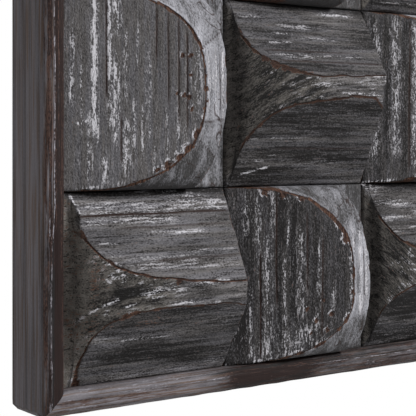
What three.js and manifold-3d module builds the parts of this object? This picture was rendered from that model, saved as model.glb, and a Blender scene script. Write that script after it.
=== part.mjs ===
// Carved wall panel: sixteen hand-cut wood blocks, in two kinds that alternate like a
// chessboard, glued to a board inside a mitred wood frame.
// Millimetres, +Z up, +X to the right, +Y into the wall. The origin is the middle of the back.

import * as THREE from 'three';
import { mergeVertices } from 'three/addons/utils/BufferGeometryUtils.js';
import Module from 'manifold-3d';

// Driving dimensions
const pitch = 150;                // spacing of the blocks, both ways
const columns = 4;
const rows = 4;
const joint = 0.5;                // open joint between neighbouring pieces
const frameWidth = 19;            // frame stock, seen from the front
const frameDepth = 47;            // frame stock, from the wall to its front
const outerRound = 9;             // rounding of the frame's outer front edge
const innerRound = 6;             // rounding of the frame's inner front edge
const cornerRound = 6;            // rounding of the panel's four corners, seen from the front
const recess = 10;                // the blocks' low edges lie this far behind the frame's front
const boardThickness = 10;
const railTrim = 8;               // the outer rows are cut this much shorter, to fit the rails
const stileTrim = 1.5;            // the outer columns likewise, to fit the stiles

// Ridge block: two flanks meet at a lying ridge, and a rounded nose cuts its left end
const ridgeHeight = 33;           // top of the nose, above the low edges
const apexHeight = 37.7;          // where the two flanks would meet
const noseStart = 6.6;            // from the left edge to the foot of the nose, on average
const noseEnd = 130;              // from the left edge to the top of the nose
const nosePower = 3.3;            // 2 is an ellipse, more is fuller
const ridgeFall = 0.5;            // drop of the ridge from the nose to its right end

// Barrel block: an upright barrel, cut by a ramp that rises to the right, with a curved end wall
const crestHeight = 31;
const barrelPower = 2.6;
const rampRun = 111;              // from the left edge to the crest
const crestEnd = 130;             // right edge of the crest, at the middle of the block
const endRadius = 200;            // curve of the end wall, seen from the front

// Hand cutting: ridges and barrels wander up and down from the middle of their blocks, and the
// foot of the nose wanders along them
const ridgeLift = 4;              // every ridge starts this far above the middle, at its left end
const ridgeWander = { size: 9.5, perRow: 1.25, perColumn: 0.9, start: -0.53 };
const noseWander = { size: 2.4, perRow: 1.9, perColumn: 1.04, start: 1.57 };
const barrelWander = { size: 6, perRow: 1.19, perColumn: -1.37, start: -0.2 };

const curveSteps = 20;            // straight steps along a quarter round
const arcSegments = 6;            // half the straight steps along a circular arc
const mergeDistance = 1e-4;       // points closer than this are one point

const wasm = await Module();
wasm.setup();

function toSolid(geometry) {
  const bare = geometry.index ? geometry.toNonIndexed() : geometry.clone();
  bare.deleteAttribute('normal');
  bare.deleteAttribute('uv');
  const merged = mergeVertices(bare, mergeDistance);
  const vertProperties = new Float32Array(merged.attributes.position.array);
  const triVerts = new Uint32Array(merged.index.array);
  return new wasm.Manifold(new wasm.Mesh({ numProp: 3, vertProperties, triVerts }));
}

function toGeometry(solid) {
  const mesh = solid.getMesh();
  const geometry = new THREE.BufferGeometry();
  geometry.setAttribute('position', new THREE.BufferAttribute(mesh.vertProperties, 3));
  geometry.setIndex(new THREE.BufferAttribute(mesh.triVerts, 1));
  geometry.computeVertexNormals();
  return geometry;
}

function extrude(points, depth) {
  const settings = { depth, bevelEnabled: false, steps: 1, curveSegments: arcSegments };
  const shape = points instanceof THREE.Shape ? points : new THREE.Shape(points);
  return new THREE.ExtrudeGeometry(shape, settings);
}

// A section drawn as (x, height) and carried along Z. Height points out of the wall, to -Y.
function carryAlongZ(points, length) {
  return extrude(points, length).rotateX(Math.PI).translate(0, 0, length);
}

// A section drawn as (z, height) and carried along X.
function carryAlongX(points, length) {
  const turn = new THREE.Matrix4().makeBasis(
    new THREE.Vector3(0, 0, 1),
    new THREE.Vector3(0, -1, 0),
    new THREE.Vector3(1, 0, 0),
  );
  return extrude(points, length).applyMatrix4(turn);
}

// A front outline drawn as (x, z) and carried from the wall out to the given depth.
function carryOutwards(shape, depth) {
  return extrude(shape, depth).rotateX(Math.PI / 2);
}

// Sizes that follow
const openingWidth = columns * pitch - 2 * stileTrim;
const openingHeight = rows * pitch - 2 * railTrim;
const panelWidth = openingWidth + 2 * frameWidth;
const panelHeight = openingHeight + 2 * frameWidth;
const lowEdge = frameDepth - recess;          // height of the blocks' low edges above the wall
const blockBack = boardThickness + joint;     // height of the blocks' backs above the wall

function wander({ size, perRow, perColumn, start }, row, column) {
  return size * Math.sin(perRow * row + perColumn * column + start);
}

// Height of a quarter super-ellipse: 0 at t = 0, rising to 1 at t = 1.
function quarterRound(t, power) {
  const rest = 1 - Math.min(Math.max(t, 0), 1);
  return (1 - rest ** power) ** (1 / power);
}

// Steps along a quarter round, close together where it is steep.
function steepFirst(index) {
  return 1 - Math.cos((index / curveSteps) * Math.PI / 2);
}

function noseSection(foot) {
  const points = [new THREE.Vector2(0, blockBack), new THREE.Vector2(0, lowEdge)];
  for (let i = 0; i <= curveSteps; i += 1) {
    const t = steepFirst(i);
    const height = lowEdge + ridgeHeight * quarterRound(t, nosePower);
    points.push(new THREE.Vector2(foot + t * (noseEnd - foot), height));
  }
  points.push(new THREE.Vector2(pitch, lowEdge + ridgeHeight - ridgeFall));
  points.push(new THREE.Vector2(pitch, blockBack));
  return points;
}

// Two flanks, from the low edges up to a ridge line that may lean from one end to the other.
function tentSolid(bottom, top, leftMiddle, rightMiddle) {
  const points = [];
  for (const [x, middle] of [[0, leftMiddle], [pitch, rightMiddle]]) {
    points.push([x, -blockBack, bottom], [x, -lowEdge, bottom]);
    points.push([x, -lowEdge - apexHeight, middle]);
    points.push([x, -lowEdge, top], [x, -blockBack, top]);
  }
  return wasm.Manifold.hull(points);
}

function rampSection() {
  return [
    new THREE.Vector2(0, blockBack),
    new THREE.Vector2(0, lowEdge),
    new THREE.Vector2(rampRun, lowEdge + crestHeight),
    new THREE.Vector2(pitch, lowEdge + crestHeight),
    new THREE.Vector2(pitch, blockBack),
  ];
}

function barrelSection(bottom, top, middle) {
  const points = [new THREE.Vector2(bottom, blockBack)];
  for (let i = 0; i <= curveSteps; i += 1) {
    const t = steepFirst(i);
    const height = lowEdge + crestHeight * quarterRound(t, barrelPower);
    points.push(new THREE.Vector2(bottom + t * (middle - bottom), height));
  }
  for (let i = curveSteps - 1; i >= 0; i -= 1) {
    const t = steepFirst(i);
    const height = lowEdge + crestHeight * quarterRound(t, barrelPower);
    points.push(new THREE.Vector2(top - t * (top - middle), height));
  }
  points.push(new THREE.Vector2(top, blockBack));
  return points;
}

// What is cut away to the right of the barrel's end wall, down to a foot level with the low edges.
function endCut(middle) {
  const outline = new THREE.Shape();
  const lowTurn = Math.asin((-joint - middle) / endRadius);
  const highTurn = Math.asin((pitch + joint - middle) / endRadius);
  outline.absarc(crestEnd - endRadius, middle, endRadius, lowTurn, highTurn);
  outline.lineTo(pitch + joint, pitch + joint);
  outline.lineTo(pitch + joint, -joint);
  outline.closePath();
  return carryOutwards(outline, 2 * crestHeight).translate(0, -lowEdge, 0);
}

function blockMaterial(isRidge) {
  return new THREE.MeshStandardMaterial({
    color: isRidge ? 0x5c5754 : 0x6b6765,
    roughness: 0.8,
    metalness: 0,
  });
}

// A ridge block: the tent, with its left end cut to the nose.
function ridgeSolid(row, column, bottom, top) {
  const leftMiddle = pitch / 2 + ridgeLift;
  const rightMiddle = pitch / 2 + wander(ridgeWander, row, column);
  const foot = noseStart + wander(noseWander, row, column);
  const nose = toSolid(carryAlongZ(noseSection(foot), pitch));
  return nose.intersect(tentSolid(bottom, top, leftMiddle, rightMiddle));
}

// A barrel block: the barrel, cut by the ramp, with its right end cut to the end wall and the foot.
function barrelSolid(row, column, bottom, top) {
  const middle = pitch / 2 + wander(barrelWander, row, column);
  const ramp = toSolid(carryAlongZ(rampSection(), pitch));
  const barrel = toSolid(carryAlongX(barrelSection(bottom, top, middle), pitch));
  return ramp.intersect(barrel).subtract(toSolid(endCut(middle)));
}

// One carved block. Its clear area keeps the joints open and trims the outer blocks.
function carvedBlock(row, column) {
  const isRidge = (row + column) % 2 === 0;
  const left = column === 0 ? stileTrim : 0;
  const right = column === columns - 1 ? pitch - stileTrim : pitch;
  const bottom = row === 0 ? railTrim : 0;
  const top = row === rows - 1 ? pitch - railTrim : pitch;
  const carved = isRidge
    ? ridgeSolid(row, column, bottom, top)
    : barrelSolid(row, column, bottom, top);
  const reach = frameDepth + apexHeight;
  const clear = new THREE.BoxGeometry(right - left - joint, reach, top - bottom - joint);
  clear.translate((left + right) / 2, -reach / 2, (bottom + top) / 2);
  const solid = carved.intersect(toSolid(clear));
  const block = new THREE.Mesh(toGeometry(solid), blockMaterial(isRidge));
  const kind = isRidge ? 'ridge' : 'barrel';
  block.name = `${kind}_block_row${row + 1}_column${column + 1}`;
  block.position.set((column - columns / 2) * pitch, 0, (row - rows / 2) * pitch);
  return block;
}

// Cross-section of the frame stock: (across from the outer edge, height above the wall).
function frameSection() {
  const section = new THREE.Shape();
  section.moveTo(0, 0);
  section.lineTo(frameWidth, 0);
  section.lineTo(frameWidth, frameDepth - innerRound);
  section.absarc(frameWidth - innerRound, frameDepth - innerRound, innerRound, 0, Math.PI / 2);
  section.lineTo(outerRound, frameDepth);
  section.absarc(outerRound, frameDepth - outerRound, outerRound, Math.PI / 2, Math.PI);
  section.closePath();
  return section;
}

// Front outline of a member of the given length along its outer edge, which lies on z = 0.
function mitredOutline(length) {
  const half = length / 2;
  const slip = joint / 2 / cornerRound;
  const down = 1.5 * Math.PI;
  const halfCorner = Math.PI / 4;
  const innerHalf = half - frameWidth - joint / 2 / Math.SQRT2;
  const outline = new THREE.Shape();
  outline.absarc(-half + cornerRound, cornerRound, cornerRound, down - halfCorner + slip, down);
  outline.absarc(half - cornerRound, cornerRound, cornerRound, down, down + halfCorner - slip);
  outline.lineTo(innerHalf, frameWidth - joint / 2);
  outline.lineTo(-innerHalf, frameWidth - joint / 2);
  outline.closePath();
  return outline;
}

const frameMaterial = {
  stile: { color: 0x4a4442, roughness: 0.75, metalness: 0 },
  rail: { color: 0x5a4844, roughness: 0.75, metalness: 0 },
};

// One frame member, lying along X with its outer edge down, then turned into its place.
function frameMember(name, kind, length, quarterTurns, distance) {
  const stock = carryAlongX(frameSection(), length).translate(-length / 2, 0, 0);
  const outline = carryOutwards(mitredOutline(length), frameDepth);
  const solid = toSolid(stock).intersect(toSolid(outline));
  const member = new THREE.Mesh(toGeometry(solid), new THREE.MeshStandardMaterial(frameMaterial[kind]));
  member.name = name;
  member.position.set(0, 0, -distance);
  const turned = new THREE.Group();
  turned.rotation.y = quarterTurns * Math.PI / 2;
  turned.add(member);
  return turned;
}

function backBoard() {
  const width = openingWidth - 2 * joint;
  const height = openingHeight - 2 * joint;
  const plain = new THREE.MeshStandardMaterial({ color: 0x6f5a48, roughness: 0.85, metalness: 0 });
  const board = new THREE.Mesh(new THREE.BoxGeometry(width, boardThickness, height), plain);
  board.name = 'back_board';
  board.position.y = -boardThickness / 2;
  return board;
}

const panel = new THREE.Group();
panel.add(backBoard());
panel.add(frameMember('bottom_rail', 'rail', panelWidth, 0, panelHeight / 2));
panel.add(frameMember('left_stile', 'stile', panelHeight, 1, panelWidth / 2));
panel.add(frameMember('top_rail', 'rail', panelWidth, 2, panelHeight / 2));
panel.add(frameMember('right_stile', 'stile', panelHeight, 3, panelWidth / 2));
for (let row = 0; row < rows; row += 1) {
  for (let column = 0; column < columns; column += 1) {
    panel.add(carvedBlock(row, column));
  }
}

export default panel;
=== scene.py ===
# A square wall panel: sixteen carved wooden blocks, laid four by four in turn with lying and upright
# grain, in a mitred frame. It hangs flat on a wall, with the wall behind the plane y = 0.
import math

import bpy
import numpy as np
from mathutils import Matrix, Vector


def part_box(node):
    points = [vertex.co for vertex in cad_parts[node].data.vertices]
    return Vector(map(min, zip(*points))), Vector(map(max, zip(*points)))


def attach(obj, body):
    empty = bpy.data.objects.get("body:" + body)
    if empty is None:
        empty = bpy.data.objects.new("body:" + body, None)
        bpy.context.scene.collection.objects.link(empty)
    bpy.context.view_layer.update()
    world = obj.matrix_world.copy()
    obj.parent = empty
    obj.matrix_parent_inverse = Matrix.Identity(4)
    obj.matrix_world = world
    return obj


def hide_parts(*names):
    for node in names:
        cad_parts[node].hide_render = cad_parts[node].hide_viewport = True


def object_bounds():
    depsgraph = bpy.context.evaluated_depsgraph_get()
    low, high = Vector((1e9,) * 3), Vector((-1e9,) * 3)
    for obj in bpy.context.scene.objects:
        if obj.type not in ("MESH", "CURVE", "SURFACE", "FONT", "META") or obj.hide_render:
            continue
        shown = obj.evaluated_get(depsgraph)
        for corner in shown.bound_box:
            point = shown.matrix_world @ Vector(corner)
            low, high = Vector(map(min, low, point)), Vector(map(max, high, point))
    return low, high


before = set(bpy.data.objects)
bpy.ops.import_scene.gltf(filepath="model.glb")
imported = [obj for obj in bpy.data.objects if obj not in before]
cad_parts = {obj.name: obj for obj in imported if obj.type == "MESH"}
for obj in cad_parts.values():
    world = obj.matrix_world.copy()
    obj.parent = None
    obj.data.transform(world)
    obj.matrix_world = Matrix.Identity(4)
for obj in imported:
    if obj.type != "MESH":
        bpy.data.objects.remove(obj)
cad_low, cad_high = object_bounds()

# Back board
# A thin plain softwood board that closes the panel behind and carries the blocks. It is left bare, cut
# square, and let into the back of the frame, so only its rear face and its edges could ever be seen.
board_early_wood = (0.46, 0.31, 0.17, 1)
board_late_wood = (0.29, 0.17, 0.085, 1)
board_dust = (0.33, 0.27, 0.21, 1)


class Finish:
    """A procedural material in the making. Each method adds nodes and gives the socket that they end in."""

    def __init__(self, name, specular=0.2):
        self.material = bpy.data.materials.new(name)
        self.material.use_nodes = True
        self.tree = self.material.node_tree
        self.shader = self.tree.nodes["Principled BSDF"]
        self.shader.inputs["Specular IOR Level"].default_value = specular

    def put(self, socket, value):
        """Links a socket to another node's output, or sets it to a plain value."""
        if isinstance(value, bpy.types.NodeSocket):
            self.tree.links.new(value, socket)
        else:
            socket.default_value = value

    def add(self, kind, inputs, output=0, **settings):
        """A node of one kind with its settings made and its inputs put in. Gives one of its outputs."""
        node = self.tree.nodes.new("ShaderNode" + kind)
        for setting, value in settings.items():
            setattr(node, setting, value)
        for socket, value in inputs.items():
            self.put(node.inputs[socket], value)
        return node.outputs[output]

    def place(self):
        """The point on the object, in metres."""
        return self.add("TexCoord", {}, "Object")

    def mark(self, name, output="Fac"):
        """A value kept on the mesh's own points."""
        return self.add("Attribute", {}, output, attribute_name=name)

    def noise(self, vector, lengths, detail=4, roughness=0.6, distortion=0):
        """Cloudy unevenness around 0.5: noise of the vector divided by the lengths of its spots."""
        inputs = {"Scale": 1, "Detail": detail, "Roughness": roughness, "Distortion": distortion}
        inputs["Vector"] = self.add("VectorMath", {0: vector, 1: lengths}, operation="DIVIDE")
        return self.add("TexNoise", inputs)

    def worked(self, operation, first, second):
        """Two values put together by a plain sum, product or other rule."""
        return self.add("Math", {0: first, 1: second}, operation=operation)

    def swing(self, value, *swings):
        """The value moved up and down by each unevenness around 0.5, times its own amount."""
        for uneven, amount in swings:
            around = self.worked("SUBTRACT", uneven, 0.5)
            value = self.worked("ADD", value, self.worked("MULTIPLY", around, amount))
        return value

    def between(self, value, low, high, start=0, end=1):
        """A smooth step from start, where the value is low, to end, where it is high."""
        inputs = {"Value": value, "From Min": low, "From Max": high, "To Min": start, "To Max": end}
        return self.add("MapRange", inputs, interpolation_type="SMOOTHSTEP")

    def blend(self, share, first, second):
        """The first colour, giving way to the second by the share."""
        return self.add("Mix", {0: share, 6: first, 7: second}, 2, data_type="RGBA")

    def finish(self, colour, roughness, height, depth):
        """Sets the colour and roughness, and raises the surface by the height times a depth in metres."""
        normal = self.add("Bump", {"Distance": depth, "Height": height})
        for socket, value in (("Base Color", colour), ("Roughness", roughness), ("Normal", normal)):
            self.put(self.shader.inputs[socket], value)
        return self.material


def bare_board_finish():
    """Plain sawn softwood: rings stretched up the board, fine pores, and dust in broad clouds."""
    wood = Finish("bare board wood")
    place = wood.place()
    rings = wood.noise(place, (0.022, 0.05, 0.9), 3, 0.5, 0.6)
    pores = wood.noise(place, (0.0012, 0.01, 0.05), 3)
    clouds = wood.noise(place, (0.2, 0.2, 0.3), 3, 0.5)
    grain = wood.between(wood.swing(rings, (pores, 0.35)), 0.35, 0.62)
    colour = wood.blend(grain, board_early_wood, board_late_wood)
    colour = wood.blend(wood.between(clouds, 0.45, 0.75, 0, 0.6), colour, board_dust)
    roughness = wood.between(grain, 0, 1, 0.88, 0.7)
    return wood.finish(colour, roughness, pores, 0.0004)


back_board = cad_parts["back_board"]
back_board.data.materials.clear()
back_board.data.materials.append(bare_board_finish())

# Ridge blocks
# Eight solid softwood blocks with the grain lying, sawn to a low roof with a flat ridge and rounded off at
# the left end with a gouge. They are stained charcoal, dragged with silver paint, rubbed through to brown
# wood along the edges, and glued on the back board.
millimetre = 0.001
columns = 4
rows = 4
pitch = 150
low_edge = 37
ridge_height = 33
apex_height = 37.7
nose_start = 6.6
nose_end = 130
nose_power = 3.3
ridge_fall = 0.5
ridge_lift = 4
ridge_wander = (9.5, 1.25, 0.9, -0.53)
nose_wander = (2.4, 1.9, 1.04, 1.57)

# Where along the block its ridge begins, silver, spatter and rings set in on the crown, and the rubbing of
# the edges narrows, each from the first sign to the full strength.
ridge_begins = (62, 98)
silver_begins = (15, 60)
spatter_begins = (14, 30)
rings_begin = (12, 45)
rubbing_narrows = (30, 95)

# Eased, hollowed and worn places, in millimetres, and the depth from which a split is fully dark.
eased_edge = 1.8
framed_edge = 0.4
crease_round = 1
crease_fade = (-0.4, 0.8)
foot_fillet = 6
foot_reach = 3.5
split_reach = 0.6
scratch_reach = 0.9
rub_depth = 1
ridge_dark_depth = 0.6
corner_reach = 14

# How far apart the patterns of two blocks and of two edges are taken, and what chance draws from.
grain_apart = 400
edge_apart = 300
lattice = 64
chance_seed = 700
ridge_streak_count = 14

# How fine the grid is, its narrowest strip, and the angle from which an edge is sharp.
foot_lines = 6
nose_lines = 76
flank_steps = 84
crown_steps = 60
least_strip = 0.3
sharp_from = math.radians(50)


def quarter_round(part, power):
    """Height of a rounded end at a part of its run: (1 - (1 - part)^power)^(1 / power), from 0 to 1."""
    return (1 - (1 - np.clip(part, 0, 1)) ** power) ** (1 / power)


def wandered(wander, here):
    """How far a block's ridge, crest or nose wandered from its place: a sine of its row and column."""
    size, per_row, per_column, start = wander
    row, column = here
    return size * math.sin(per_row * row + per_column * column + start)


def rise(value, start, end):
    """A smooth step from 0 at start to 1 at end: 3t^2 - 2t^3 of the part t of the way."""
    part = np.clip((value - start) / (end - start), 0, 1)
    return part * part * (3 - 2 * part)


def part_way(first, second, share):
    """A share of the way from the first value to the second."""
    return first + (second - first) * share


def bell(away, reach):
    """1 at no distance, falling smoothly on both sides: e to the minus square of the distance in reaches."""
    return np.exp(-((away / reach) ** 2))


def waver(a, b, seed):
    """Smooth unevenness from -1 to 1: random values on a lattice, blended between its four nearest points
    by the smooth step each way."""
    values = np.random.default_rng(seed).uniform(-1, 1, (lattice, lattice))
    a, b = np.broadcast_arrays(a, b)
    i = np.floor(a).astype(int)
    j = np.floor(b).astype(int)
    s = rise(a - i, 0, 1)
    t = rise(b - j, 0, 1)
    near = values[i % lattice, j % lattice] * (1 - s) + values[(i + 1) % lattice, j % lattice] * s
    j = j + 1
    far = values[i % lattice, j % lattice] * (1 - s) + values[(i + 1) % lattice, j % lattice] * s
    return near * (1 - t) + far * t


def unevenness(along, across, seed):
    """A rule for unevenness as long along the grain and as wide across it as asked, by a seed of its own."""
    return lambda length, width, number: waver(along / length, across / width, seed + number)


def lower_of(first, second, rounding):
    """The lower of two heights with the crease eased: half their sum less half the root of their squared
    difference plus the squared rounding."""
    return 0.5 * (first + second - np.sqrt((first - second) ** 2 + rounding**2))


def dragged(along, across, streaks, seed):
    """How thickly paint was dragged along the grain: for each streak a bell across the grain that wanders a
    little, fades at both ends and is broken up along the grain. The thickest streak at a point counts."""
    paint = np.zeros_like(along)
    for number, (place, width, start, end, strength) in enumerate(streaks):
        wander = 0.9 * waver(along / 26, number + 0.5, seed)
        ends = rise(along, start - 4, start + 10) * (1 - rise(along, end - 10, end + 4))
        broken = 0.8 + 0.4 * waver(along / 8, across / 2 + 7 * number, seed + 1)
        paint = np.maximum(paint, strength * bell(across - place - wander, width) * ends * broken)
    return paint


def brushed(along, across, seed):
    """How much silver a nearly dry brush left: long stripes some millimetres wide and thin threads, each
    where its unevenness rises above the middle, kept to broad patches."""
    uneven = unevenness(along, across, seed)
    stripes = rise(uneven(75, 5, 0), 0, 0.8)
    threads = rise(uneven(28, 1.9, 1), 0.2, 0.9)
    patches = rise(uneven(45, 16, 2), -0.4, 0.6)
    return (0.3 * stripes + 0.22 * threads) * patches


def lined(along, across, seed):
    """Long lines in the stain, from -1 to 1: broad and thin unevenness drawn out along the grain."""
    uneven = unevenness(along, across, seed)
    return 0.5 * uneven(80, 3.4, 0) + 0.5 * uneven(50, 1.7, 1)


def split(along, across, splits, seed):
    """How deep thin splits run along the grain: for each one a narrow bell across the grain that wanders a
    little and fades at both ends."""
    depth = np.zeros_like(along)
    for number, (place, start, end, deepest) in enumerate(splits):
        wander = 0.7 * waver(along / 40, number + 0.5, seed)
        ends = rise(along, start - 2, start + 12) * (1 - rise(along, end - 12, end + 2))
        depth = np.maximum(depth, deepest * bell(across - place - wander, split_reach) * ends)
    return depth


def rubbed(distance, place, thinnest, widest, seed):
    """How far an edge is rubbed to bare wood: a band along it whose width swings between the thinnest and
    the widest as an unevenness along the edge rises."""
    uneven = waver(place / 6.5, 0.5, seed) + 0.5 * waver(place / 2.3, 0.5, seed + 1)
    width = part_way(thinnest, widest, rise(uneven, -0.1, 0.9))
    return 1 - rise(np.abs(distance), 0.5 * width, width)


def chipped(x, z, chips, seed):
    """Where chips broke off: round each one's middle, out to its reach, with a ragged border."""
    gone = np.zeros_like(x)
    for middle_x, middle_z, reach in chips:
        away = np.hypot(x - middle_x, z - middle_z) + 0.35 * reach * waver(x / 1.7, z / 1.7, seed)
        gone = np.maximum(gone, 1 - rise(away, 0.6 * reach, reach))
    return gone


def scratched(x, z, scratches):
    """Where something scraped across: a thin bell round each straight line from one point to another."""
    scrape = np.zeros_like(x)
    for start_x, start_z, end_x, end_z in scratches:
        length = math.hypot(end_x - start_x, end_z - start_z)
        turn_x = (end_x - start_x) / length
        turn_z = (end_z - start_z) / length
        along = np.clip((x - start_x) * turn_x + (z - start_z) * turn_z, 0, length)
        away = np.hypot(x - start_x - along * turn_x, z - start_z - along * turn_z)
        scrape = np.maximum(scrape, bell(away, scratch_reach))
    return scrape


def patched(x, z, patches):
    """How much lighter or darker soft patches are: a bell each way round each one's middle, summed."""
    change = np.zeros_like(x)
    for middle_x, middle_z, reach_x, reach_z, amount in patches:
        squared = ((x - middle_x) / reach_x) ** 2 + ((z - middle_z) / reach_z) ** 2
        change = change + amount * np.exp(-squared)
    return change


def shaped(name, points, faces, marks):
    """A piece from points in millimetres and faces, smooth but for sharp edges, with marks on its points."""
    mesh = bpy.data.meshes.new(name)
    mesh.from_pydata((points * millimetre).tolist(), [], faces)
    mesh.set_sharp_from_angle(angle=sharp_from)
    for mark, values in marks.items():
        kept = values.reshape(len(points), -1).astype(np.float32)
        kind, key = ("FLOAT_VECTOR", "vector") if kept.shape[1] == 3 else ("FLOAT", "value")
        mesh.attributes.new(mark, kind, "POINT").data.foreach_set(key, kept.ravel())
    piece = bpy.data.objects.new(name, mesh)
    bpy.context.scene.collection.objects.link(piece)
    return piece


def faces_between(number, following):
    """Four-sided faces over a grid of point numbers, from each line to the next and from each point to the
    one that follows it."""
    corners = [number[:-1], number[1:], following[1:], following[:-1]]
    return np.stack(corners, axis=-1).reshape(-1, 4).tolist()


def square_corner(here):
    """The lower left corner of a block's square, in millimetres from the panel's middle."""
    row, column = here
    return (column - columns / 2) * pitch, (row - rows / 2) * pitch


def carved_block(node, here, x, z, height, back, marks):
    """A closed block: the grid of front points (x, height out from the wall, z), moved to the block's square,
    walls from the grid's border straight back to the block's back plane, and one face there."""
    lines, steps = x.shape
    corner_x, corner_z = square_corner(here)
    front = np.stack([x + corner_x, -height, z + corner_z], axis=-1).reshape(-1, 3)
    number = np.arange(lines * steps).reshape(lines, steps)
    border = np.concatenate([number[:-1, 0], number[-1, :-1], number[:0:-1, -1], number[0, :0:-1]])
    rear = front[border]
    rear[:, 1] = -back
    ring = np.stack([border, lines * steps + np.arange(len(border))])
    faces = faces_between(number[:, :-1], number[:, 1:]) + faces_between(ring, np.roll(ring, -1, axis=1))
    faces.append(ring[1][::-1].tolist())
    block_marks = {}
    for mark, values in marks.items():
        flat = values.reshape(lines * steps, -1)
        block_marks[mark] = np.concatenate([flat, flat[border]])
    return shaped("carved_" + node, np.concatenate([front, rear]), faces, block_marks)


def dress(piece, node, material):
    """Puts a finished piece in the place of its solid."""
    piece.data.materials.append(material)
    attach(piece, "root")
    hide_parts(node)


def limits(node, here):
    """A block's own left, right, bottom, top and back, in millimetres from its square's lower left corner
    and from the wall, read from its solid."""
    low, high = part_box(node)
    corner_x, corner_z = square_corner(here)
    left, right = low.x / millimetre - corner_x, high.x / millimetre - corner_x
    bottom, top = low.z / millimetre - corner_z, high.z / millimetre - corner_z
    return left, right, bottom, top, -high.y / millimetre


def first_seed(here):
    """The first of the seeds that belong to a block, a hundred apart for each row and ten for each column."""
    row, column = here
    return 100 * row + 10 * column


def eased(x, z, left, right, bottom, top, here):
    """How much lower a block is near its border: a quarter of a circle over the eased edge, and over the
    smaller framed edge where the block meets the frame."""
    row, column = here
    lower = np.zeros_like(x)
    sides = (
        (x - left, column == 0),
        (right - x, column == columns - 1),
        (z - bottom, row == 0),
        (top - z, row == rows - 1),
    )
    for inside, is_framed in sides:
        easing = framed_edge if is_framed else eased_edge
        part = np.clip(1 - inside / easing, 0, 1)
        lower = np.maximum(lower, easing * (1 - np.sqrt(1 - part**2)))
    return lower


def own(table, here):
    """A block's own entry in a table, or else the entry for all others, or else none."""
    return table.get(here, table.get("others", []))


def chance_streaks(here, count):
    """Streaks for a block whose paint runs as it happened to: places, widths, ends and strengths drawn from
    a generator seeded by the block's row and column."""
    row, column = here
    draw = np.random.default_rng(chance_seed + 10 * row + column)
    places = draw.uniform(8, 142, count)
    widths = draw.uniform(0.6, 2.4, count)
    starts = draw.uniform(0, 90, count)
    ends = starts + draw.uniform(20, 80, count)
    strengths = draw.uniform(0.25, 0.55, count)
    return list(zip(places, widths, starts, ends, strengths))


def nose_profile(x, foot):
    """Height of the rounded end: a quarter round from its foot to the ridge, then the ridge's slow fall."""
    fall = ridge_fall * np.clip((x - nose_end) / (pitch - nose_end), 0, 1)
    return ridge_height * quarter_round((x - foot) / (nose_end - foot), nose_power) - fall


# Each streak: its place up the block, half width, start and end along the grain, and strength.
ridge_streaks = {
    (0, 0): [
        (139, 3, 10, 150, 0.5), (135, 1.6, 12, 150, 0.42), (128, 3, 12, 100, 0.45),
        (119, 1.6, 62, 122, 0.55), (112, 0.8, 22, 42, 0.5), (103.5, 1.2, 24, 40, 0.55),
        (96.5, 1, 90, 140, 0.42), (92, 0.8, 80, 150, 0.36), (144.5, 1.6, 90, 130, 0.5),
        (104, 0.8, 95, 145, 0.35), (43, 3.2, 12, 30, 0.44), (41.5, 1.2, 34, 86, 0.36),
        (11, 2, 36, 120, 0.36), (80.5, 1.8, 92, 138, 0.66), (75, 3.5, 52, 92, 0.52),
        (66.5, 1.2, 74, 104, 0.6),
    ],
    (1, 1): [
        (143, 1.6, 92, 135, 0.6), (137, 1, 8, 30, 0.35), (131, 2.4, 45, 85, 0.28), (124, 0.8, 38, 60, 0.36),
        (116, 0.8, 25, 60, 0.36), (106.5, 0.8, 30, 130, 0.36), (104.5, 0.6, 40, 80, 0.36),
        (121, 0.7, 60, 110, 0.3), (39, 0.7, 10, 75, 0.36), (20.5, 0.9, 8, 34, 0.36),
        (25.5, 0.8, 34, 46, 0.34), (76, 1.1, 94, 146, 0.6), (85, 1, 115, 140, 0.55),
        (84, 2.4, 58, 98, 0.36),
    ],
    (0, 2): [
        (142.5, 2, 0, 18, 0.4), (135, 1.4, 8, 44, 0.36), (131.5, 1.8, 22, 110, 0.38),
        (121, 1.6, 12, 70, 0.36), (112, 1.2, 34, 120, 0.34), (104, 1, 60, 140, 0.36), (80, 2, 80, 140, 0.5),
        (29, 0.8, 36, 90, 0.24),
    ],
}

# Each split: its place up the block, start and end along the grain, and depth.
ridge_splits = {
    (0, 0): [(132.5, 0, 150, 0.9), (123, 40, 150, 0.4), (99, 60, 150, 0.4)],
    (1, 1): [(110, 20, 120, 0.4), (101.5, 30, 150, 0.5), (31, 40, 150, 0.4)],
}

# Each chip: its middle across and up the block, and its reach.
ridge_chips = {
    (0, 0): [(13, 120, 4), (30, 100.5, 3), (84, 83, 2.6), (40, 60, 3)],
    (1, 1): [
        (8, 124, 4), (11.5, 116, 4), (16, 109, 4), (23, 103, 4), (31, 98.5, 4.4), (39, 96, 3.6),
        (47, 94, 3.4), (58, 92, 2.6), (12, 38, 3), (20, 48, 3),
    ],
}

# How light the stain is on the upper flank, lower flank, nose and ridge, and what chance gives the others.
# The lower flank's darker tone is partly its stain and partly painted shade, as it faces down.
ridge_tones = {
    (0, 0): (0.51, 0.35, 0.32, 0.52),
    (1, 1): (0.295, 0.2, 0.15, 0.5),
    (0, 2): (0.3, 0.08, 0.09, 0.3),
}
darkest_ridge = (0.38, 0.22, 0.24, 0.4)
lightest_ridge = (0.52, 0.28, 0.32, 0.52)

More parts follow.
